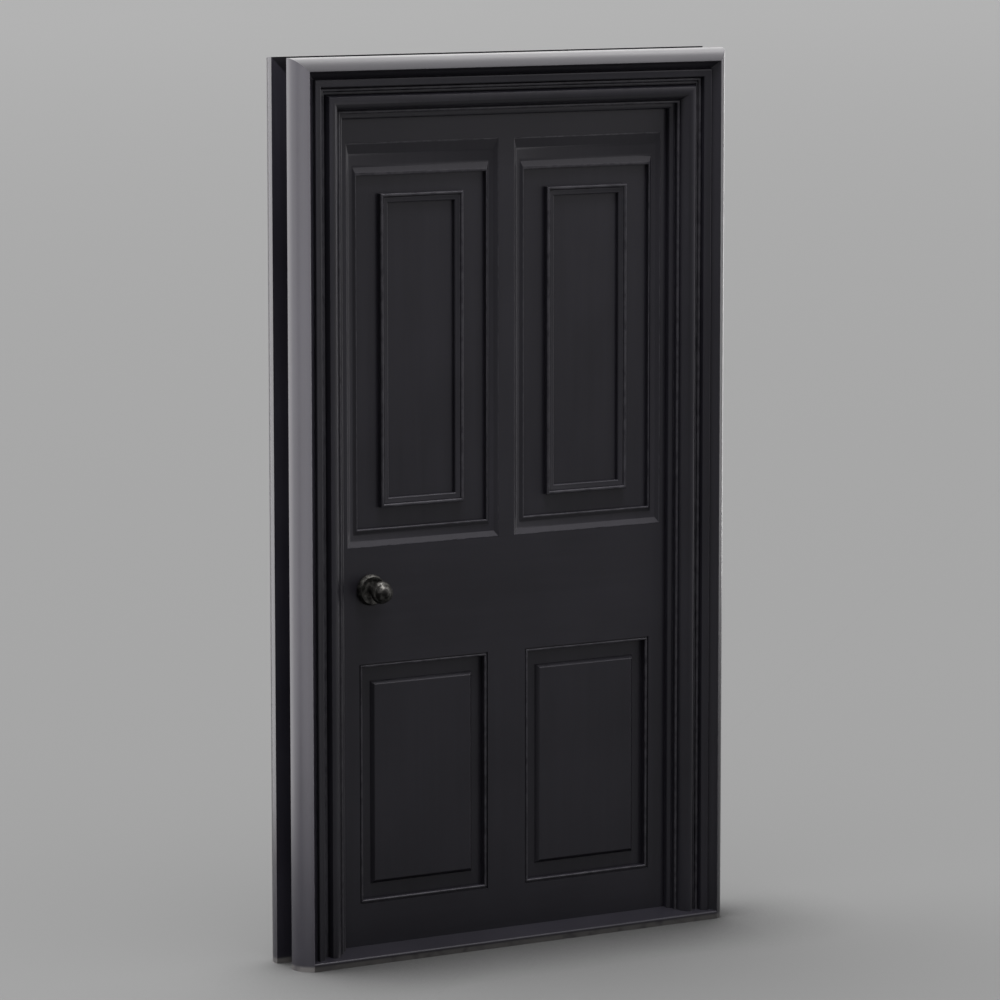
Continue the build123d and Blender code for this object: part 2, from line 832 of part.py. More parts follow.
def raised_field(low, high):
    """The bevelled field on a panel's front, its upper edge rounded over."""
    centre = ((low[0] + high[0]) / 2, panel_front, (low[1] + high[1]) / 2)
    width = high[0] - low[0] - 2 * field_side_margin
    height = high[1] - low[1] - 2 * field_end_margin
    with BuildPart() as field:
        with BuildSketch(Plane(origin=centre, x_dir=(1, 0, 0), z_dir=(0, -1, 0))) as foot:
            Rectangle(width, height)
        with BuildSketch(foot.workplanes[0].offset(field_height)):
            Rectangle(width - 2 * field_bevel, height - 2 * field_bevel)
        loft()
        fillet(field.faces().sort_by(Axis.Y)[0].edges(), radius=field_round)
    return field


upper_panel = board(*upper_opening)
lower_board = board(*lower_opening)
front_field = raised_field(*lower_opening)
rear_field = mirrored(front_field, leaf_mirror)
with BuildPart() as lower_panel:
    add(lower_board.part)
    add(front_field.part)
    add(rear_field.part)

# Mouldings planted round and on the panels
splay_widths = (splay_bottom_width, splay_side_width, splay_top_width, splay_side_width)
upper_moulding = panel_frame(
    splay_low, splay_high, splay_widths, splay_shares, sink_depth, panel_front
)
inner_bead = panel_frame(
    (opening_inner + inner_bead_side_margin, upper_low + inner_bead_bottom_margin),
    (opening_outer - inner_bead_side_margin, upper_high - inner_bead_top_margin),
    [inner_bead_width] * 4,
    inner_bead_shares,
    inner_bead_height,
    panel_front,
)
lower_bead = panel_frame(
    *lower_opening, [flush_bead_width] * 4, flush_bead_shares, sink_depth, panel_front
)
rear_frames = [
    panel_frame(*opening, [rear_bead_width] * 4, rear_bead_shares, sink_depth, panel_front)
    for opening in (lower_opening, upper_opening)
]
with BuildPart() as hinge_side_rear_beads:
    for rear_frame in rear_frames:
        mirror(rear_frame.part, about=leaf_mirror)
latch_side_rear_beads = mirrored(hinge_side_rear_beads, Plane.YZ)
with BuildPart() as rear_panel_beads:
    add(hinge_side_rear_beads.part)
    add(latch_side_rear_beads.part)
finish(rear_panel_beads, "rear_panel_beads")

sided = {
    "upper_panel": upper_panel,
    "lower_panel": lower_panel,
    "upper_moulding": upper_moulding,
    "inner_bead": inner_bead,
    "lower_bead": lower_bead,
}
for name, piece in sided.items():
    finish(piece, f"{name}_hinge")
    finish(mirrored(piece, Plane.YZ), f"{name}_latch")
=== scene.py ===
# %% [markdown]
# A panelled entrance door in its frame
#
# The joinery is already modelled to size: stiles, rails, panels, mouldings, hinges and latch.
# This lesson dresses it. It sets the camera and a plain studio, paints the woodwork in brushed
# satin black, runs the mouldings again with softened arrises, and gives the knobs, hinges and
# screws their metal. The joinery is loaded as a fixed frame, and nothing in it is moved or
# resized here.

# %% Load the joinery
import json
import math

import bmesh
import bpy
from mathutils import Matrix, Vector, noise

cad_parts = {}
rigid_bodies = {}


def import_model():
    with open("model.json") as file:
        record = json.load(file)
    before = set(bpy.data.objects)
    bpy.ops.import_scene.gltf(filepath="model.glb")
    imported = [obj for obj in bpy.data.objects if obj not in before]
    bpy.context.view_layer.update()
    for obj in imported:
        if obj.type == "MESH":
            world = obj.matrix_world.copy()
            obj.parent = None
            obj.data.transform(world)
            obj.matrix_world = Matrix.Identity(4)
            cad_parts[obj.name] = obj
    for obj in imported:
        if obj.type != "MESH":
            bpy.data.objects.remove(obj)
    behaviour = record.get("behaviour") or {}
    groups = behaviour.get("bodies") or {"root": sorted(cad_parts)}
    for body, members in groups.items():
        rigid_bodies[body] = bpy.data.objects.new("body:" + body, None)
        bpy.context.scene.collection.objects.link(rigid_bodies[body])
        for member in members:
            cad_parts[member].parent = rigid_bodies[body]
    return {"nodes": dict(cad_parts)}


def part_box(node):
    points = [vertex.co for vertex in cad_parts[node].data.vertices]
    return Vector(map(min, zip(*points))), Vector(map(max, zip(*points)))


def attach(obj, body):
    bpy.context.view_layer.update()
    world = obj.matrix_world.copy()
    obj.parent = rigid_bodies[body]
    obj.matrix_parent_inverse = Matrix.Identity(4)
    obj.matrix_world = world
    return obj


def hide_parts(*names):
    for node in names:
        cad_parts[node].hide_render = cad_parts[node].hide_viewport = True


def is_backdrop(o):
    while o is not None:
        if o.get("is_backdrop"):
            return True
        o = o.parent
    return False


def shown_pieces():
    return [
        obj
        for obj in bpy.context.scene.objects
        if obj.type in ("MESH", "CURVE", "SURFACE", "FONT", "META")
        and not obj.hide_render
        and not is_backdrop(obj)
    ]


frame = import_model()
scene = bpy.context.scene
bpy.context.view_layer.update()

# %% [markdown]
# The camera
#
# The door is seen from its left, a little from above, through a long lens. A long lens keeps
# the uprights almost parallel, so the place of the camera follows from a heading, a tilt and a
# distance to the middle of the frame's front. The focal length is kept in picture widths.

# %% Place the camera
HEADING = math.radians(31.50)
TILT = math.radians(7.684)
DISTANCE = 11.819
FOCAL_WIDTHS = 4.9603
PICTURE_SHIFT = (-0.02096, 0.01071)

crest_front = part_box("front_backband_head")[0][1]
look_at = Vector((0.0, crest_front, 1.0561))
look_along = Vector((
    math.sin(HEADING) * math.cos(TILT),
    math.cos(HEADING) * math.cos(TILT),
    -math.sin(TILT),
))
camera_data = bpy.data.cameras.new("camera")
camera_data.sensor_width = 36.0
camera_data.lens = FOCAL_WIDTHS * camera_data.sensor_width
camera_data.shift_x, camera_data.shift_y = PICTURE_SHIFT
camera_data.clip_end = 1000.0
camera = bpy.data.objects.new("camera", camera_data)
camera.location = look_at - DISTANCE * look_along
camera.rotation_euler = look_along.to_track_quat("-Z", "Y").to_euler()
scene.collection.objects.link(camera)
scene.camera = camera
print("camera at", [round(value, 3) for value in camera.location])

# %% [markdown]
# Node trees in plain sums
#
# A material is a small tree of nodes, and linking every Math node by hand buries the idea. Here
# one class wraps a socket: adding, subtracting or multiplying two values adds the Math node, and
# its one method adds any other node from its type, its settings and its sockets. Geometry Nodes
# trees are built with the same class.

# %% Wrap a socket
class Value:
    """A socket in a node tree; sums and products of values add Math nodes."""

    def __init__(self, tree, socket):
        self.tree = tree
        self.socket = socket

    def node(self, kind, settings=None, sockets=None, output=0):
        """Add a node to the same tree and give back one of its outputs."""
        made = self.tree.nodes.new(kind)
        for name, setting in (settings or {}).items():
            setattr(made, name, setting)
        for name, given in (sockets or {}).items():
            if isinstance(given, Value):
                self.tree.links.new(given.socket, made.inputs[name])
            else:
                made.inputs[name].default_value = given
        return Value(self.tree, made.outputs[output])

    def sum_of(self, operation, first, second):
        return self.node("ShaderNodeMath", {"operation": operation}, {0: first, 1: second})

    def __add__(self, other):
        return self.sum_of("ADD", self, other)

    def __radd__(self, other):
        return self.sum_of("ADD", other, self)

    def __sub__(self, other):
        return self.sum_of("SUBTRACT", self, other)

    def __rsub__(self, other):
        return self.sum_of("SUBTRACT", other, self)

    def __mul__(self, other):
        return self.sum_of("MULTIPLY", self, other)

    def __rmul__(self, other):
        return self.sum_of("MULTIPLY", other, self)

    def between(self, low, high):
        """How far the value has come from low to high, from 0 to 1."""
        limits = {"Value": self, "From Min": low, "From Max": high}
        return self.node("ShaderNodeMapRange", {"interpolation_type": "SMOOTHSTEP"}, limits)

    def mottle(self, scale, detail=3.0, stretch=(1.0, 1.0, 1.0)):
        """Noise from 0 to 1 over the place that this value holds, stretched along an axis."""
        place = self.node("ShaderNodeMapping", None, {"Vector": self, "Scale": stretch})
        sockets = {"Vector": place, "Scale": scale, "Detail": detail}
        return self.node("ShaderNodeTexNoise", None, sockets)

    def axis(self, index):
        """One coordinate of the place or direction that this value holds."""
        return self.node("ShaderNodeSeparateXYZ", None, {"Vector": self}, index)

    def tint(self, low, high):
        """A colour that runs from low to high as the value goes from 0 to 1."""
        low, high = (end if isinstance(end, Value) else (*end, 1.0) for end in (low, high))
        sockets = {"Factor": self, 6: low, 7: high}
        return self.node("ShaderNodeMix", {"data_type": "RGBA"}, sockets, 2)

    def feed(self, socket):
        """Link the value to a socket of another node."""
        self.tree.links.new(self.socket, socket)


def new_finish(name):
    """A material with its shader and the place on the piece as a value."""
    material = bpy.data.materials.new(name)
    material.use_nodes = True
    tree = material.node_tree
    shader = tree.nodes["Principled BSDF"]
    coordinates = tree.nodes.new("ShaderNodeTexCoord")
    return material, shader, Value(tree, coordinates.outputs["Object"])


print("socket wrapper ready")

# %% [markdown]
# Brushed satin black
#
# The woodwork is painted in an oil paint of a soft, slightly cool black. The brush leaves fine
# streaks along the grain, so uprights and cross pieces need the streaks turned. The paint is
# paler along the arrises, which the mouldings mark with an attribute of their own, partly as
# rubbed wear and partly as a painted highlight. Within 16 mm of the floor it is paler grey in
# patches, partly scuffs and partly painted light on the sill's front face. An image texture could
# hold all this, but noise keeps its scale on every piece and has no seams.

# %% Mix the paint
UPRIGHT = (1.0, 1.0, 0.035)
LEVEL = (0.035, 1.0, 1.0)
BRUSH_SCALE = 420.0
CLOUD_SCALE, SPECK_SCALE = 3.2, 1500.0
RUB_AND_HIGHLIGHT_SCALE, SCUFF_AND_LIGHT_SCALE = 55.0, 30.0
SCUFFS_AND_LIGHT_BELOW, FOOT_BAND_TOP = 0.008, 0.016
PAINT_GLOSS = 0.38
BLACK_LOW = (0.0052, 0.0049, 0.0071)
BLACK_HIGH = (0.0092, 0.0087, 0.0121)
RUBBED_AND_HIGHLIGHT = (0.030, 0.029, 0.034)
SCUFFS_AND_LIGHT = (0.050, 0.048, 0.047)
SHEEN = (1.0, 0.98, 1.04, 1.0)


def brushed_black(name, grain):
    """Satin black paint with its brush streaks along one axis."""
    material, shader, place = new_finish(name)
    shader.inputs["Specular IOR Level"].default_value = PAINT_GLOSS
    shader.inputs["Specular Tint"].default_value = SHEEN
    streaks = place.mottle(BRUSH_SCALE, 4.0, grain)
    broad_streaks = place.mottle(BRUSH_SCALE / 7, 3.0, grain)
    clouds = place.mottle(CLOUD_SCALE, 4.0)
    specks = place.mottle(SPECK_SCALE, 2.0)
    arris = place.node("ShaderNodeAttribute", {"attribute_name": "arris"}, None, "Fac")
    # Partly painted highlight: the paint is paler along the marked arrises, partly rubbed wear and
    # partly a painted highlight on the edges.
    rub_and_highlight = arris * place.mottle(RUB_AND_HIGHLIGHT_SCALE, 4.0).between(0.30, 0.62)
    tone = (0.55 * clouds + 0.3 * broad_streaks + 0.15 * streaks).between(0.30, 0.70)
    black = tone.tint(BLACK_LOW, BLACK_HIGH)
    # Partly painted light: the paint is paler grey in patches within 16 mm of the floor, partly
    # scuffs and partly painted light on the sill's front face.
    low_down = 1 - place.axis(2).between(SCUFFS_AND_LIGHT_BELOW, FOOT_BAND_TOP)
    scuffs_and_light = low_down * place.mottle(SCUFF_AND_LIGHT_SCALE, 4.0).between(0.15, 0.55)
    scuffs_and_light.tint(rub_and_highlight.tint(black, RUBBED_AND_HIGHLIGHT), SCUFFS_AND_LIGHT).feed(shader.inputs["Base Color"])
    rough = 0.25 + 0.09 * streaks + 0.09 * clouds - 0.05 * rub_and_highlight
    rough.feed(shader.inputs["Roughness"])
    height = 0.6 * streaks + 0.4 * broad_streaks + 0.12 * specks
    bump = {"Strength": 0.22, "Distance": 0.0004, "Height": height}
    place.node("ShaderNodeBump", None, bump).feed(shader.inputs["Normal"])
    return material


paint_upright = brushed_black("paint_upright", UPRIGHT)
paint_level = brushed_black("paint_level", LEVEL)
print("paint mixed, upright and level")

# %% [markdown]
# Aged iron and steel
#
# The knobs and roses are cast and turned, then blackened; handling has polished the high spots
# and left darker, rougher patches between them. The hinges, latch and screws are plain brushed
# steel. Both are metals, so the colour tints the reflection, and most of the look comes from
# how the roughness changes over the surface.

# %% Mix the metals
PATCH_SCALE, PIT_SCALE = 85.0, 420.0
IRON_DARK, IRON_POLISHED = (0.016, 0.0155, 0.015), (0.080, 0.078, 0.074)
LINE_SCALE, STAIN_SCALE = 900.0, 60.0
DRAWN = (1.0, 1.0, 0.05)
STEEL_STAINED, STEEL_CLEAN = (0.40, 0.39, 0.37), (0.56, 0.55, 0.53)


def aged_iron(name):
    """Blackened iron, polished in patches by handling."""
    material, shader, place = new_finish(name)
    shader.inputs["Metallic"].default_value = 1.0
    patches = place.mottle(PATCH_SCALE, 5.0)
    pits = place.mottle(PIT_SCALE, 3.0)
    polish = (0.75 * patches + 0.25 * pits).between(0.40, 0.66)
    polish.tint(IRON_DARK, IRON_POLISHED).feed(shader.inputs["Base Color"])
    (0.60 - 0.12 * polish + 0.08 * pits).feed(shader.inputs["Roughness"])
    bump = {"Strength": 0.35, "Distance": 0.0006, "Height": 0.7 * patches + 0.3 * pits}
    place.node("ShaderNodeBump", None, bump).feed(shader.inputs["Normal"])
    return material


def brushed_steel(name):
    """Steel drawn along its length, dulled a little by handling."""
    material, shader, place = new_finish(name)
    shader.inputs["Metallic"].default_value = 1.0
    lines = place.mottle(LINE_SCALE, 3.0, DRAWN)
    stains = place.mottle(STAIN_SCALE, 4.0)
    colour = stains.between(0.35, 0.7).tint(STEEL_STAINED, STEEL_CLEAN)
    colour.feed(shader.inputs["Base Color"])
    (0.30 + 0.14 * lines + 0.14 * stains).feed(shader.inputs["Roughness"])
    bump = {"Strength": 0.18, "Distance": 0.0002, "Height": lines}
    place.node("ShaderNodeBump", None, bump).feed(shader.inputs["Normal"])
    return material


iron = aged_iron("aged_iron")
steel = brushed_steel("brushed_steel")
print("metals mixed")

# %% [markdown]
# Painting the joinery
#
# Stiles, jambs and panels run upright, and rails and the threshold run level, so each piece of
# the joinery takes the paint whose streaks follow its grain. Only the material changes; the
# solids stay as the joiner cut them.

# %% Paint the joinery
LEVEL_PIECES = ("rail", "head", "threshold")
IRON_PIECES = ("knob", "rose")
STEEL_PIECES = ("hinge_door", "hinge_frame", "hinge_pins", "screws", "plate", "latch_bolt",
                "latch_case", "latch_follower", "spindle")


def finish_for(name):
    """The finish of a piece of the joinery, by its name."""
    if name.endswith(IRON_PIECES):
        return iron
    if any(word in name for word in STEEL_PIECES):
        return steel
    return paint_level if any(word in name for word in LEVEL_PIECES) else paint_upright


for name, node in frame["nodes"].items():
    node.data.materials.clear()
    node.data.materials.append(finish_for(name))
print("painted", len(frame["nodes"]), "pieces of joinery")

# %% [markdown]
# Sections of the mouldings
#
# Every moulding here is a short chain of flats, beads and hollows. It is written in shares of
# the moulding's width and height: one point is a straight run, two points are an arc through the
# first to the second. A spindle moulder never leaves a razor edge and paint rounds it further,
# so each corner is softened by a small arc, and the outward corners are marked for paler paint,
# partly rubbed wear and partly a painted highlight.

# %% Draw a section
ARC_STEPS = 10
SOFT_STEPS = 3
SHARP_TURN = math.radians(14)
LONGEST_CUT = 0.3
CLEAN_BEYOND = 1.5


def arc_points(start, through, end):
    """Points on the circle through three points, after the first one."""
    a, b, c = Vector(start), Vector(through), Vector(end)
    twice = 2 * ((b - a).cross(c - a))
    bb, cc = (b - a).length_squared, (c - a).length_squared
    centre = a + Vector((
        ((c - a).y * bb - (b - a).y * cc) / twice,
        ((b - a).x * cc - (c - a).x * bb) / twice,
    ))
    first = math.atan2(a.y - centre.y, a.x - centre.x)
    last = math.atan2(c.y - centre.y, c.x - centre.x)
    turn = (last - first) % (2 * math.pi)
    if twice < 0:
        turn -= 2 * math.pi
    radius = (a - centre).length
    angles = [first + turn * step / ARC_STEPS for step in range(1, ARC_STEPS + 1)]
    return [centre + radius * Vector((math.cos(angle), math.sin(angle))) for angle in angles]


def section_points(shares, width, height):
    """The section's outline from the foot of one edge to the foot of the other."""
    points = [Vector((0.0, 0.0))]
    for step in shares:
        places = [Vector((across * width, up * height)) for across, up in step]
        if len(places) == 1:
            points.append(places[0])
        else:
            points.extend(arc_points(points[-1], *places))
    return points


def softened(points, softness):
    """Round the corners: (across, up, arris) for each point, arris 1 on rounded edges."""
    area = sum(points[i - 1].cross(points[i]) for i in range(len(points)))
    made = []
    for i, here in enumerate(points):
        before, after = points[i - 1] - here, points[(i + 1) % len(points)] - here
        turn = math.pi - before.angle(after)
        outward = after.cross(before) * area > 0
        foot = here.y == 0.0
        if turn < SHARP_TURN or foot:
            made.append((here.x, here.y, 0.0))
            continue
        cut = min(softness, LONGEST_CUT * before.length, LONGEST_CUT * after.length)
        start, end = here + before.normalized() * cut, here + after.normalized() * cut
        clean = here + before.normalized() * CLEAN_BEYOND * cut
        made.append((clean.x, clean.y, 0.0))
        for step in range(SOFT_STEPS + 1):
            t = step / SOFT_STEPS
            spot = (1 - t) ** 2 * start + 2 * t * (1 - t) * here + t**2 * end
            made.append((spot.x, spot.y, 1.0 if outward else 0.0))
        clean = here + after.normalized() * CLEAN_BEYOND * cut
        made.append((clean.x, clean.y, 0.0))
    return made


print("sections are drawn with", ARC_STEPS, "steps an arc")

# %% [markdown]
# A tree that runs a moulding round its corners
#
# On the bench each length is cut on a mitre, so that the section turns the corner unbroken. A
# plain sweep squeezes the section at a corner. This Geometry Nodes tree sweeps only for the
# faces, and then sets every point itself: a corner of the path, plus the section's width along
# that corner's mitre, plus its height along the rise. The mitre may be skew, which suits the
# upper panels, whose mouldings are wider at the top than at the sides.

# %% Build the moulding tree
def tree_with(name, inputs):
    """A Geometry Nodes tree with named inputs, and each input as a value."""
    tree = bpy.data.node_groups.new(name, "GeometryNodeTree")
    tree.is_modifier = True
    for label, kind in inputs:
        tree.interface.new_socket(label, in_out="INPUT", socket_type=kind)
    tree.interface.new_socket("Made", in_out="OUTPUT", socket_type="NodeSocketGeometry")
    start = tree.nodes.new("NodeGroupInput")
    return tree, {label: Value(tree, start.outputs[label]) for label, kind in inputs}


def end_tree(tree, geometry, material):
    """Every tree ends the same way: real geometry, with its finish."""
    real = geometry.node("GeometryNodeRealizeInstances", None, {"Geometry": geometry})
    sockets = {"Geometry": real, "Material": material}
    painted = geometry.node("GeometryNodeSetMaterial", None, sockets)
    painted.feed(tree.nodes.new("NodeGroupOutput").inputs["Made"])


def named_vector(value, name):
    """A vector that is stored on the points under a name."""
    settings = {"data_type": "FLOAT_VECTOR"}
    return value.node("GeometryNodeInputNamedAttribute", settings, {"Name": name})


def vector_sum(operation, first, second):
    """Two vectors added, or a vector scaled by a value."""
    scaled = operation == "SCALE"
    sockets = {0: first, "Scale" if scaled else 1: second}
    return first.node("ShaderNodeVectorMath", {"operation": operation}, sockets)


moulding_tree, given = tree_with("mitred_moulding", (
    ("Path", "NodeSocketGeometry"),
    ("Section", "NodeSocketObject"),
    ("Rise", "NodeSocketVector"),
    ("Finish", "NodeSocketMaterial"),
))
path = given["Path"]
path_curve = path.node("GeometryNodeMeshToCurve", None, {"Mesh": path})
section_shape = path.node("GeometryNodeObjectInfo", None, {"Object": given["Section"]}, "Geometry")
section_curve = path.node("GeometryNodeMeshToCurve", None, {"Mesh": section_shape})
swept = path.node("GeometryNodeCurveToMesh", None, {
    "Curve": path_curve, "Profile Curve": section_curve, "Fill Caps": True,
})
section = named_vector(path, "section")
across, up, arris_mark = (section.axis(index) for index in range(3))
along_mitre = vector_sum("SCALE", named_vector(path, "mitre"), across)
along_rise = vector_sum("SCALE", given["Rise"], up)
spot = vector_sum("ADD", named_vector(path, "corner"), vector_sum("ADD", along_mitre, along_rise))
placed = path.node("GeometryNodeSetPosition", None, {"Geometry": swept, "Position": spot})
marked = path.node("GeometryNodeStoreNamedAttribute", {"data_type": "FLOAT", "domain": "POINT"}, {
    "Geometry": placed, "Name": "arris", "Value": arris_mark,
})
end_tree(moulding_tree, marked, given["Finish"])
print("moulding tree has", len(moulding_tree.nodes), "nodes")

# %% [markdown]
# Running a length
#
# The path is a row of corners with a mitre at each, and the section is a closed outline. Both
# are kept as plain edges with their numbers stored on the points. The tree is run once, its
# result is kept as an ordinary mesh, and the helpers are thrown away.

# %% Run the tree on a path
MERGE_WITHIN, SLIVER_BELOW = 1e-6, 1e-7
SHARP_EDGE = math.radians(32)


def edge_object(name, count, closed, attributes):
    """An object of edges only, with vectors stored on its points."""
    mesh = bpy.data.meshes.new(name)
    edges = [(i, (i + 1) % count) for i in range(count if closed else count - 1)]
    spots = next(iter(attributes.values()))
    mesh.from_pydata([tuple(spot) for spot in spots], edges, [])
    for label, vectors in attributes.items():
        stored = mesh.attributes.new(label, "FLOAT_VECTOR", "POINT")
        stored.data.foreach_set("vector", [number for vector in vectors for number in vector])
    made = bpy.data.objects.new(name, mesh)
    scene.collection.objects.link(made)
    return made


def run_tree(carrier, tree, inputs):
    """Evaluate a tree on an object and give back its result as a plain mesh."""
    modifier = carrier.modifiers.new(tree.name, "NODES")
    modifier.node_group = tree
    for item in tree.interface.items_tree:
        if item.item_type == "SOCKET" and item.in_out == "INPUT" and item.name in inputs:
            modifier[item.identifier] = inputs[item.name]
    evaluated = carrier.evaluated_get(bpy.context.evaluated_depsgraph_get())
    mesh = bpy.data.meshes.new_from_object(evaluated)
    carrier.modifiers.remove(modifier)
    return mesh


def discard(made):
    """Throw a helper away with its mesh."""
    data = made.data
    bpy.data.objects.remove(made)
    bpy.data.meshes.remove(data)


def swept_moulding(section, path, closed, rise, finish):
    """One run of a moulding as a mesh with outward faces."""
    outline = edge_object("section", len(section), True, {"section": section})
    corners = edge_object("path", len(path), closed, {
        "corner": [corner for corner, mitre in path],
        "mitre": [mitre for corner, mitre in path],
    })
    inputs = {"Section": outline, "Rise": rise, "Finish": finish}
    mesh = run_tree(corners, moulding_tree, inputs)
    discard(outline)
    discard(corners)
    return mesh


def piece_from(name, meshes, body, nodes):
    """Join meshes into one piece that rides on a body and stands for some of the joinery."""
    joined = bmesh.new()
    for mesh in meshes:
        joined.from_mesh(mesh)
    bmesh.ops.remove_doubles(joined, verts=joined.verts, dist=MERGE_WITHIN)
    bmesh.ops.dissolve_degenerate(joined, edges=joined.edges, dist=SLIVER_BELOW)
    bmesh.ops.recalc_face_normals(joined, faces=joined.faces)
    result = bpy.data.meshes.new(name)
    joined.to_mesh(result)
    joined.free()
    for label in ("section", "corner", "mitre"):
        if label in result.attributes:
            result.attributes.remove(result.attributes[label])
    for material in meshes[0].materials:
        result.materials.append(material)
    result.shade_smooth()
    result.set_sharp_from_angle(angle=SHARP_EDGE)
    for mesh in meshes:
        bpy.data.meshes.remove(mesh)
    piece = bpy.data.objects.new(name, result)
    scene.collection.objects.link(piece)
    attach(piece, body)
    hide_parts(*nodes)
    print(name, "has", len(result.polygons), "faces")


print("lengths are run by the tree", moulding_tree.name)


# %% [markdown]
# The surround
#
# The deep frame of the doorway is built up from two mouldings on each side of the wall: an
# architrave against the jamb with a big round, a quirk and a stepped band, and round that a
# heavy backband with a hollow inside and a broad round outside. A stop with a rounded edge is
# planted on the jamb. All run up one leg, along the head and down the other leg.

# %% Run the surround
MM = 0.001
ARCHITRAVE = (
    ((0, 0.33),),
    ((0.036, 0.42), (0.078, 0.39)),
    ((0.09, 0.37),),
    ((0.22, 0.727), (0.36, 0.847)),
    ((0.419, 0.852), (0.476, 0.827)),
    ((0.492, 0.782),),
    ((0.556, 0.5),),
    ((0.578, 0.5),),
    ((0.578, 0.59),),
    ((0.62, 0.59),),
    ((0.636, 0.55),),
    ((0.69, 0.68), (0.738, 0.61)),
    ((0.753, 0.826),),
    ((0.771, 0.896), (0.807, 0.926)),
    ((0.934, 0.991),),
    ((0.967, 0.987), (0.982, 0.935)),
    ((1, 0.815),),
    ((1, 0),),
)
BACKBAND = (
    ((0, 0.658),),
    ((0.206, 0.807), (0.371, 1)),
    ((0.829, 0.658), (1, 0.16)),
    ((1, 0),),
)
STOP = (
    ((0, 1),),
    ((0.3, 1),),
    ((0.8, 0.86), (1, 0.45)),
    ((1, 0),),
)
JAMB_FACE = 467 * MM
HEAD_FACE = 2011 * MM
WALL_FACE = 36 * MM
CASING = (83 * MM, 46 * MM)
BACKBAND_SIZE = (48.5 * MM, 57 * MM)
REAR_MARGIN = 10.5 * MM
STOP_SIZE = (14 * MM, 16.2 * MM)
STOP_BACK = -26.8 * MM
CASING_FOOT, STOP_FOOT = 12 * MM, 20 * MM
SOFTNESS = 1.1 * MM


def surround_path(out, depth, foot, inward=1.0):
    """Up the latch jamb, along the head and down the hinge jamb."""
    side, top = JAMB_FACE + out, HEAD_FACE + out
    return (
        (Vector((-side, depth, foot)), Vector((-inward, 0, 0))),
        (Vector((-side, depth, top)), Vector((-inward, 0, inward))),
        (Vector((side, depth, top)), Vector((inward, 0, inward))),
        (Vector((side, depth, foot)), Vector((inward, 0, 0))),
    )


def trimmed(points, from_across):
    """Cut a section's inner edge off at a width."""
    kept = [point for point in points if point.x > from_across]
    first = points.index(kept[0])
    before, after = points[first - 1], points[first]
    share = (from_across - before.x) / (after.x - before.x)
    cut = before.lerp(after, share)
    return [Vector((from_across, 0.0)), Vector((from_across, cut.y)), *kept]


def three(name):
    """The names of the three lengths of a surround."""
    return [f"{name}_{place}" for place in ("latch", "hinge", "head")]


forward, backward = Vector((0, -1, 0)), Vector((0, 1, 0))
architrave = section_points(ARCHITRAVE, *CASING)
backband = softened(section_points(BACKBAND, *BACKBAND_SIZE), SOFTNESS)
front_casing = softened(architrave, SOFTNESS)
rear_casing = softened(trimmed(architrave, REAR_MARGIN), SOFTNESS)
stop = softened(section_points(STOP, *STOP_SIZE), SOFTNESS)
casing_runs = (
    ("front_casing", front_casing, -WALL_FACE, CASING_FOOT, forward),
    ("rear_casing", rear_casing, WALL_FACE, 0.0, backward),
)
for name, section, depth, foot, rise in casing_runs:
    run = swept_moulding(section, surround_path(0.0, depth, foot), False, rise, paint_upright)
    piece_from(name, [run], "frame", three(name))
backband_runs = (("front", -WALL_FACE, forward), ("rear", WALL_FACE, backward))
lengths = (("latch", 0, paint_upright), ("head", 1, paint_level), ("hinge", 2, paint_upright))
for side, depth, rise in backband_runs:
    corners = surround_path(CASING[0], depth, 0.0)
    for place, first, finish in lengths:
        run = swept_moulding(backband, corners[first:first + 2], False, rise, finish)
        node = f"{side}_backband_{place}"
        piece_from(f"backband_{side}_{place}", [run], "frame", [node])
stop_path = surround_path(0.0, STOP_BACK, STOP_FOOT, -1.0)
stop_run = swept_moulding(stop, stop_path, False, forward, paint_upright)
piece_from("stop", [stop_run], "frame", ["latch_stop", "hinge_stop", "head_stop"])

# %% [markdown]
# Mouldings round the panels
#
# The upper panels sit behind a wide splay that steps down in two falls to a small round, with a
# second, raised bead planted inside it. The lower panels have a flush bead round the opening,
# and the back of the leaf has a plain quadrant bead. Each is a closed run, so it needs no caps.

# %% Run the panel mouldings
SPLAY = (
    ((0, 1),),
    ((0.36, 0.56),),
    ((0.7, 0.36),),
    ((0.9, 0.63),),
    ((0.955, 0.67), (1, 0.53)),
    ((1, 0),),
)
INNER_BEAD = (
    ((0, 0.75),),
    ((0.17, 1), (0.36, 0.8)),
    ((0.4, 0.7),),
    ((0.44, 0.78),),
    ((0.8, 0.66),),
    ((0.95, 0.58), (1, 0.4)),
    ((1, 0),),
)
FLUSH_BEAD = (
    ((0, 0.8),),
    ((0.3, 0.8),),
    ((0.34, 0.86),),
    ((0.67, 1), (1, 0.84)),
    ((1, 0),),
)
REAR_BEAD = (
    ((0, 1),),
    ((0.15, 1),),
    ((0.15, 0.9),),
    ((0.68, 0.7), (0.9, 0.2)),
    ((0.9, 0.1),),
    ((1, 0.1),),
    ((1, 0),),
)
PANEL_FACE = -10 * MM
PANEL_BACK = 15 * MM
SINK = 16 * MM
UPPER_OPENING = ((52.2 * MM, 1030.4 * MM), (406.7 * MM, 1863.5 * MM))
LOWER_OPENING = ((52.2 * MM, 133.0 * MM), (406.7 * MM, 710.4 * MM))
SPLAY_SIDE, SPLAY_TOP, SPLAY_BOTTOM = 30.6 * MM, 78.0 * MM, 42.4 * MM
INNER_BEAD_SIZE = (22.3 * MM, 15.0 * MM)
INNER_SIDE, INNER_TOP, INNER_BOTTOM = 64.0 * MM, 43.5 * MM, 48.6 * MM
FLUSH_BEAD_WIDTH = 9.0 * MM
REAR_BEAD_WIDTH = 14.0 * MM
SPLAY_SOFTNESS, BEAD_SOFTNESS = 1.4 * MM, 0.8 * MM


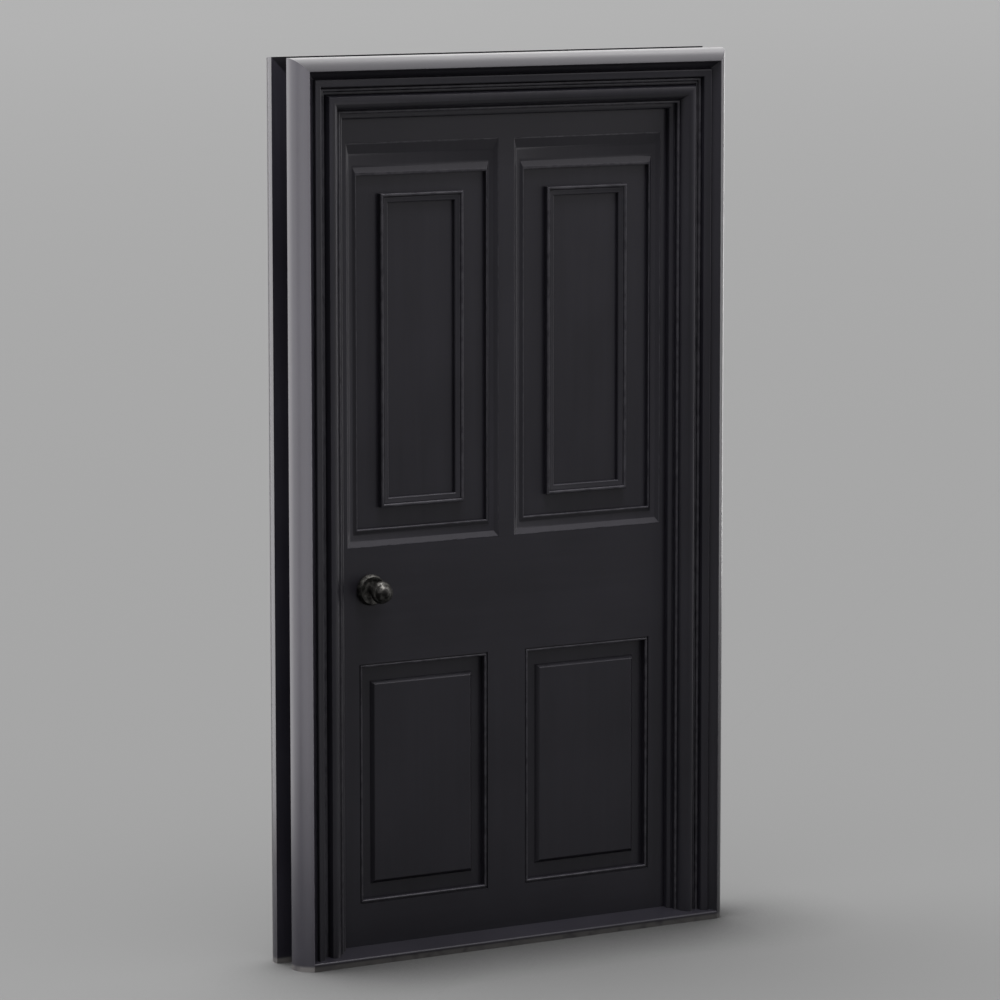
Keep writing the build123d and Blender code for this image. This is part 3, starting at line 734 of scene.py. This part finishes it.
def grown(opening, side, top, bottom):
    """An opening made larger, or smaller where the growth is negative."""
    (left, low), (right, high) = opening
    return (left - side, low - bottom), (right + side, high + top)


def panel_path(opening, depth, hand, side=1.0, top=1.0, bottom=1.0):
    """Round a panel's opening on one side of the leaf, with the mitres pointing inward."""
    (left, low), (right, high) = opening
    corners = (
        (left, low, side, bottom),
        (right, low, -side, bottom),
        (right, high, -side, -top),
        (left, high, side, -top),
    )
    return [
        (Vector((hand * x, depth, z)), Vector((hand * across, 0, up)))
        for x, z, across, up in corners
    ]


def panel_moulding(name, section, paths, rise, nodes):
    """The same moulding round several panels, as one piece on the leaf."""
    runs = [swept_moulding(section, path, True, rise, paint_upright) for path in paths]
    piece_from(name, runs, "door", nodes)


HANDS = (-1.0, 1.0)
splay = softened(section_points(SPLAY, SPLAY_SIDE, SINK), SPLAY_SOFTNESS)
splay_opening = grown(UPPER_OPENING, SPLAY_SIDE, SPLAY_TOP, SPLAY_BOTTOM)
splay_widths = (1.0, SPLAY_TOP / SPLAY_SIDE, SPLAY_BOTTOM / SPLAY_SIDE)
panel_moulding(
    "upper_moulding", splay,
    [panel_path(splay_opening, PANEL_FACE, hand, *splay_widths) for hand in HANDS],
    forward, ["upper_moulding_latch", "upper_moulding_hinge"],
)
inner_opening = grown(UPPER_OPENING, -INNER_SIDE, -INNER_TOP, -INNER_BOTTOM)
panel_moulding(
    "inner_bead", softened(section_points(INNER_BEAD, *INNER_BEAD_SIZE), SOFTNESS),
    [panel_path(inner_opening, PANEL_FACE, hand) for hand in HANDS],
    forward, ["inner_bead_latch", "inner_bead_hinge"],
)
flush_bead = softened(section_points(FLUSH_BEAD, FLUSH_BEAD_WIDTH, SINK), BEAD_SOFTNESS)
panel_moulding(
    "lower_bead", flush_bead,
    [panel_path(LOWER_OPENING, PANEL_FACE, hand) for hand in HANDS],
    forward, ["lower_bead_latch", "lower_bead_hinge"],
)
rear_bead = softened(section_points(REAR_BEAD, REAR_BEAD_WIDTH, SINK), BEAD_SOFTNESS)
panel_moulding(
    "rear_beads", rear_bead,
    [
        panel_path(opening, PANEL_BACK, hand)
        for opening in (LOWER_OPENING, UPPER_OPENING) for hand in HANDS
    ],
    backward, ["rear_panel_beads"],
)

# %% [markdown]
# The knobs
#
# Each knob is a turned casting: a neck, a swelling body, a fine groove and a domed cap. Years of
# handling have left it slightly uneven, so the turned outline is spun round its axis and then
# dimpled inwards by a gentle noise. The dimples are real geometry, because they show in the
# outline and break up the highlights.

# %% Turn the knobs
KNOB_AXIS = (-376 * MM, 886.5 * MM)
LEAF_FRONT, LEAF_BACK = -26 * MM, 31 * MM
KNOB_OUTLINE = (
    (11.0, 1.0), (11.0, 14.0), (11.0, 25.5), (11.1, 32.3), (17.8, 39.1), (25.0, 46.8),
    (26.8, 53.5), (25.6, 60.3), (22.7, 63.8),
)
CAP_OUTLINE = (
    (22.7, 63.8), (23.1, 66.4), (21.9, 69.5), (18.6, 74.8), (12.6, 80.2), (6.4, 83.6), (0.0, 84.6),
)
KNOB_TURNS = 72
SMOOTH_STEPS = 6
DIMPLE_DEPTH = 0.75 * MM
DIMPLE_SCALE = 95.0
NECK_END, WEAR_RISE = 32 * MM, 8 * MM
CAP_CORE = 6 * MM


def smooth_line(points):
    """More points on a smooth line through the given ones."""
    spots = [Vector(point) * MM for point in points]
    made = []
    for i in range(len(spots) - 1):
        before = spots[max(i - 1, 0)]
        here, there = spots[i], spots[i + 1]
        after = spots[min(i + 2, len(spots) - 1)]
        for step in range(SMOOTH_STEPS):
            t = step / SMOOTH_STEPS
            made.append(0.5 * (
                2 * here + (there - before) * t
                + (2 * before - 5 * here + 4 * there - after) * t**2
                + (3 * here - before - 3 * there + after) * t**3
            ))
    return made + [spots[-1]]


def turned_knob(name, face, way, node):
    """A knob spun round its axis, from the leaf's face outwards."""
    line = smooth_line(KNOB_OUTLINE) + smooth_line(CAP_OUTLINE)[1:]
    made = bmesh.new()
    rings = []
    for radius, height in line:
        if radius < MERGE_WITHIN:
            rings.append([made.verts.new((KNOB_AXIS[0], face + way * height, KNOB_AXIS[1]))])
            continue
        ring = []
        for turn in range(KNOB_TURNS):
            angle = 2 * math.pi * turn / KNOB_TURNS
            spot = Vector((radius * math.cos(angle), way * height, radius * math.sin(angle)))
            dent = noise.noise(DIMPLE_SCALE * spot) * 0.5 + 0.5
            worn = min(1.0, max(0.0, (height - NECK_END) / WEAR_RISE))
            shrink = 1.0 - worn * dent * DIMPLE_DEPTH / max(radius, CAP_CORE)
            place = Vector((spot.x * shrink, spot.y, spot.z * shrink))
            ring.append(made.verts.new((
                KNOB_AXIS[0] + place.x, face + place.y, KNOB_AXIS[1] + place.z,
            )))
        rings.append(ring)
    made.faces.new(rings[0])
    for low, high in zip(rings, rings[1:]):
        for i in range(KNOB_TURNS):
            after = (i + 1) % KNOB_TURNS
            if len(high) == 1:
                made.faces.new((low[i], low[after], high[0]))
            else:
                made.faces.new((low[i], low[after], high[after], high[i]))
    mesh = bpy.data.meshes.new(name)
    made.to_mesh(mesh)
    made.free()
    mesh.materials.append(iron)
    piece_from(name, [mesh], "knob", [node])


turned_knob("knob_front", LEAF_FRONT, -1, "front_knob")
turned_knob("knob_rear", LEAF_BACK, 1, "rear_knob")

# %% [markdown]
# Slotted screws
#
# The hinges and the latch plates are fixed with countersunk screws whose slots the fitter left
# at any angle. A head repeats many times, so a Geometry Nodes tree makes it once, cuts its slot,
# and stands a copy on every place, turned at random from a fixed seed.

# %% Build the screw tree
HEAD_SIDES = 32
screw_tree, given = tree_with("slotted_screws", (
    ("Places", "NodeSocketGeometry"),
    ("Head radius", "NodeSocketFloat"),
    ("Shank radius", "NodeSocketFloat"),
    ("Head depth", "NodeSocketFloat"),
    ("Slot width", "NodeSocketFloat"),
    ("Slot depth", "NodeSocketFloat"),
    ("Seed", "NodeSocketInt"),
    ("Finish", "NodeSocketMaterial"),
))
places = given["Places"]
head = places.node("GeometryNodeMeshCone", None, {
    "Vertices": HEAD_SIDES, "Depth": given["Head depth"],
    "Radius Top": given["Head radius"], "Radius Bottom": given["Shank radius"],
})
bar_size = places.node("ShaderNodeCombineXYZ", None, {
    "X": 3 * given["Head radius"], "Y": given["Slot width"], "Z": 2 * given["Slot depth"],
})
bar = places.node("GeometryNodeMeshCube", None, {"Size": bar_size})
bar_place = places.node("ShaderNodeCombineXYZ", None, {"Z": given["Head depth"]})
slot_bar = places.node("GeometryNodeTransform", None, {"Geometry": bar, "Translation": bar_place})
slotted = places.node("GeometryNodeMeshBoolean", {"operation": "DIFFERENCE", "solver": "EXACT"}, {
    "Mesh 1": head, "Mesh 2": slot_bar,
})
sunk = places.node("ShaderNodeCombineXYZ", None, {"Z": -1 * given["Head depth"]})
flush = places.node("GeometryNodeTransform", None, {"Geometry": slotted, "Translation": sunk})
facing = named_vector(places, "facing")
facing_turn = places.node("FunctionNodeAlignRotationToVector", {"axis": "Z"}, {"Vector": facing})
spin = places.node("FunctionNodeRandomValue", {"data_type": "FLOAT"}, {
    2: 0.0, 3: math.pi, "Seed": given["Seed"],
}, 1)
spin_turn = places.node("FunctionNodeAxisAngleToRotation", None, {
    "Axis": (0, 0, 1), "Angle": spin,
})
turned = places.node("FunctionNodeRotateRotation", {"rotation_space": "LOCAL"}, {
    "Rotation": facing_turn, "Rotate By": spin_turn,
})
points = places.node("GeometryNodeMeshToPoints", None, {"Mesh": places})
stood = places.node("GeometryNodeInstanceOnPoints", None, {
    "Points": points, "Instance": flush, "Rotation": turned,
})
end_tree(screw_tree, stood, given["Finish"])
print("screw tree has", len(screw_tree.nodes), "nodes")

# %% [markdown]
# Where the screws go
#
# Each hinge leaf has three countersunk screws, the middle one set back so that the three don't
# split the stile along one line of grain. The latch's plate and the keep have one above and one
# below. The slots stop wherever the screw came tight, so each one is turned by chance, with a
# fixed seed.

# %% Set the screws
SCREW = {
    "Head radius": 4.2 * MM, "Shank radius": 2.1 * MM, "Head depth": 2.4 * MM,
    "Slot width": 1.1 * MM, "Slot depth": 1.2 * MM,
}
LEAF_EDGE = 464 * MM
HINGE_HEIGHTS = (257.0 * MM, 1156.58 * MM, 1808.0 * MM)
HINGE_MIDDLE = 13 * MM
SCREW_PITCH, SCREW_STAGGER = 34 * MM, 5 * MM
LEAF_MIDDLE = 2.5 * MM
LATCH_HEIGHT = 906.5 * MM
FACEPLATE_REACH, STRIKE_REACH = 59 * MM, 34 * MM


def hinge_places(face):
    """Three screws on each hinge leaf, the middle one set back."""
    rows = ((-1, -SCREW_STAGGER), (0, SCREW_STAGGER), (1, -SCREW_STAGGER))
    return [
        Vector((face, HINGE_MIDDLE + back, height + row * SCREW_PITCH))
        for height in HINGE_HEIGHTS for row, back in rows
    ]


def plate_places(face, reach):
    """One screw above and one below the latch."""
    return [Vector((face, LEAF_MIDDLE, LATCH_HEIGHT + way * reach)) for way in (-1, 1)]


def set_screws(name, spots, facing, body, seed, node):
    """Screw heads on one plate, all facing one way."""
    carrier = edge_object("places", len(spots), False, {
        "place": spots, "facing": [Vector((facing, 0, 0))] * len(spots),
    })
    mesh = run_tree(carrier, screw_tree, {**SCREW, "Seed": seed, "Finish": steel})
    discard(carrier)
    piece_from(name, [mesh], body, [node])


faceplate = plate_places(-LEAF_EDGE, FACEPLATE_REACH)
keep = plate_places(-JAMB_FACE, STRIKE_REACH)
set_screws("door_hinge_screws", hinge_places(LEAF_EDGE), 1, "door", 3, "hinge_door_screws")
set_screws("frame_hinge_screws", hinge_places(JAMB_FACE), -1, "frame", 5, "hinge_frame_screws")
set_screws("latch_plate_screws", faceplate, -1, "door", 7, "faceplate_screws")
set_screws("keep_screws", keep, 1, "frame", 11, "strike_screws")

# %% [markdown]
# The studio
#
# The door stands on a wide pale grey floor that runs far behind it, so no corner or horizon
# shows. The floor's colour is painted paler further behind the door, a painted gradient of light.
# Close to the foot of the door an ambient-occlusion node darkens the floor's colour, a painted
# contact shadow that sets the door firmly on it. The sky of the studio is a soft grey, brighter
# above and behind than in front, which gives the black paint something to mirror.

# %% Lay the floor and the sky
scene.view_settings.view_transform = "Standard"
FLOOR_TONE, PALER_BEHIND = 0.425, 0.075
PALER_FROM, PALER_TO = -6.0, 60.0
FLOOR_REACH = 400.0
FLOOR_GRAIN, GRAIN_SCALE = 0.003, 0.6
CONTACT_REACH, CONTACT_SAMPLES = 0.37, 4
SHADE_LEAN = (-0.35, 0.55, 0.76)

bpy.ops.mesh.primitive_plane_add(size=FLOOR_REACH)
floor = bpy.context.object
floor.name = "floor"
floor_paint, shader, place = new_finish("floor_paint")
grain = place.mottle(GRAIN_SCALE, 2.0)
lean = place.node("ShaderNodeCombineXYZ", None, dict(zip("XYZ", SHADE_LEAN)), "Vector")
nearness = {"Distance": CONTACT_REACH, "Normal": lean}
settings = {"samples": CONTACT_SAMPLES}
# Painted shadow: an ambient-occlusion node darkens the floor's colour close to the door's foot.
painted_contact_shadow = place.node("ShaderNodeAmbientOcclusion", settings, nearness, "AO")
# Painted light: the floor's colour grows paler further behind the door, a painted gradient of light
# across the backdrop.
behind = place.axis(1).between(PALER_FROM, PALER_TO)
tone = FLOOR_TONE + PALER_BEHIND * behind + FLOOR_GRAIN * (grain - 0.5)
(tone * painted_contact_shadow).feed(shader.inputs["Base Color"])
shader.inputs["Roughness"].default_value = 0.9
shader.inputs["Specular IOR Level"].default_value = 0.1
floor.data.materials.append(floor_paint)
floor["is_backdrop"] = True

world = bpy.data.worlds.new("studio")
world.use_nodes = True
scene.world = world
sky = world.node_tree
view = Value(sky, sky.nodes.new("ShaderNodeTexCoord").outputs["Generated"])
across, ahead, height = (view.axis(index) for index in range(3))
SKY_FRONT, SKY_BEHIND, SKY_ABOVE, SKY_LEFT = 0.23, 0.62, 0.7, 0.30
sky_light = SKY_FRONT + SKY_BEHIND * ahead.between(-0.2, 0.9)
sky_light = sky_light + SKY_ABOVE * height.between(0.45, 0.95)
sky_light = sky_light + SKY_LEFT * (0.6 * height - 0.8 * across).between(0.3, 0.95)
sky_light.feed(sky.nodes["Background"].inputs["Strength"])
sky.nodes["Background"].inputs["Color"].default_value = (1.0, 1.0, 1.0, 1.0)
print("floor laid and sky set")

# %% [markdown]
# Lamps on the door
#
# Black paint shows its shape only by its highlights. One soft lamp hangs above and picks out
# what faces up, and weaker ones on the left, on the right and in front rake the splays. A low
# one far in front is mirrored in the top rail. Wide lamps close to the latch leg give its outer
# rounds one long highlight, weaker at the rear. Two lamps above the head draw its bright crest
# and the slow fall below it, and one behind draws the rim of the hinge leg. All are linked to
# the pieces that they light, so that the floor stays even.

# %% Hang the lamps
def lamp_group(name, pieces):
    """The pieces that a lamp shines on."""
    group = bpy.data.collections.new(name)
    scene.collection.children.link(group)
    for piece in pieces:
        group.objects.link(piece)
    return group


whole_door = lamp_group("whole_door", [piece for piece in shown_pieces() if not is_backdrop(piece)])
front_rounds = lamp_group("front_rounds", [bpy.data.objects["backband_front_latch"]])
rear_rounds = lamp_group("rear_rounds", [bpy.data.objects["backband_rear_latch"]])
head_rounds = lamp_group("head_rounds", [
    bpy.data.objects[f"backband_{side}_head"] for side in ("front", "rear")
])
below_head = lamp_group("below_head", [
    piece for piece in whole_door.objects if piece.name not in head_rounds.objects
])
latch_rounds = lamp_group("latch_rounds", [*front_rounds.objects, *rear_rounds.objects])
hinge_rounds = lamp_group("hinge_rounds", [
    bpy.data.objects[f"backband_{side}_hinge"] for side in ("front", "rear")
])
LAMPS = (
    ("left_lamp", (-4.0, 0.4, 3.0), (-0.5, 0.0, 2.2), (1.8, 6.0), 26.0, below_head),
    ("top_lamp", (-0.2, -0.3, 5.4), (0.0, 0.0, 1.8), (3.0, 2.4), 720.0, below_head),
    ("right_lamp", (4.4, -0.8, 1.5), (0.0, 0.0, 1.2), (3.4, 2.8), 64.0, whole_door),
    ("front_lamp", (2.2, -2.8, 4.2), (0.0, 0.0, 1.3), (3.8, 3.8), 48.0, whole_door),
    ("head_lamp", (4.2, -6.9, 2.25), (0.0, 0.0, 2.0), (4.0, 2.4), 12.0, whole_door),
    ("latch_lamp", (-1.7, 0.95, 1.45), (-0.58, 0.0, 1.45), (2.4, 2.9), 72.0, latch_rounds),
    ("round_lamp", (-1.75, -1.1, 1.45), (-0.58, -0.1, 1.45), (2.4, 2.9), 92.0, front_rounds),
    ("gap_lamp", (-1.75, -1.1, 1.45), (-0.58, 0.1, 1.45), (2.4, 2.9), 54.0, rear_rounds),
    ("crown_lamp", (1.9, -0.3, 5.4), (0.1, 0.0, 2.1), (4.4, 3.4), 140.0, head_rounds),
    ("brow_lamp", (2.3, 2.6, 4.7), (0.1, 0.0, 2.1), (4.0, 3.6), 110.0, head_rounds),
    ("rim_lamp", (3.6, 3.4, 1.4), (0.6, 0.0, 1.2), (2.6, 2.6), 76.0, hinge_rounds),
)
LAMP_COLOUR = (1.0, 0.985, 0.985)


def soft_lamp(name, location, target, size, power, group):
    """A rectangular lamp that lights one group of pieces and not the floor."""
    data = bpy.data.lights.new(name, "AREA")
    data.shape = "RECTANGLE"
    data.size, data.size_y = size
    data.energy = power
    data.color = LAMP_COLOUR
    lamp = bpy.data.objects.new(name, data)
    lamp.location = location
    aim = Vector(target) - Vector(location)
    lamp.rotation_euler = aim.to_track_quat("-Z", "Y").to_euler()
    lamp.light_linking.receiver_collection = group
    lamp.visible_camera = False
    scene.collection.objects.link(lamp)


for lamp_row in LAMPS:
    soft_lamp(*lamp_row)
print("hung", len(LAMPS), "lamps")
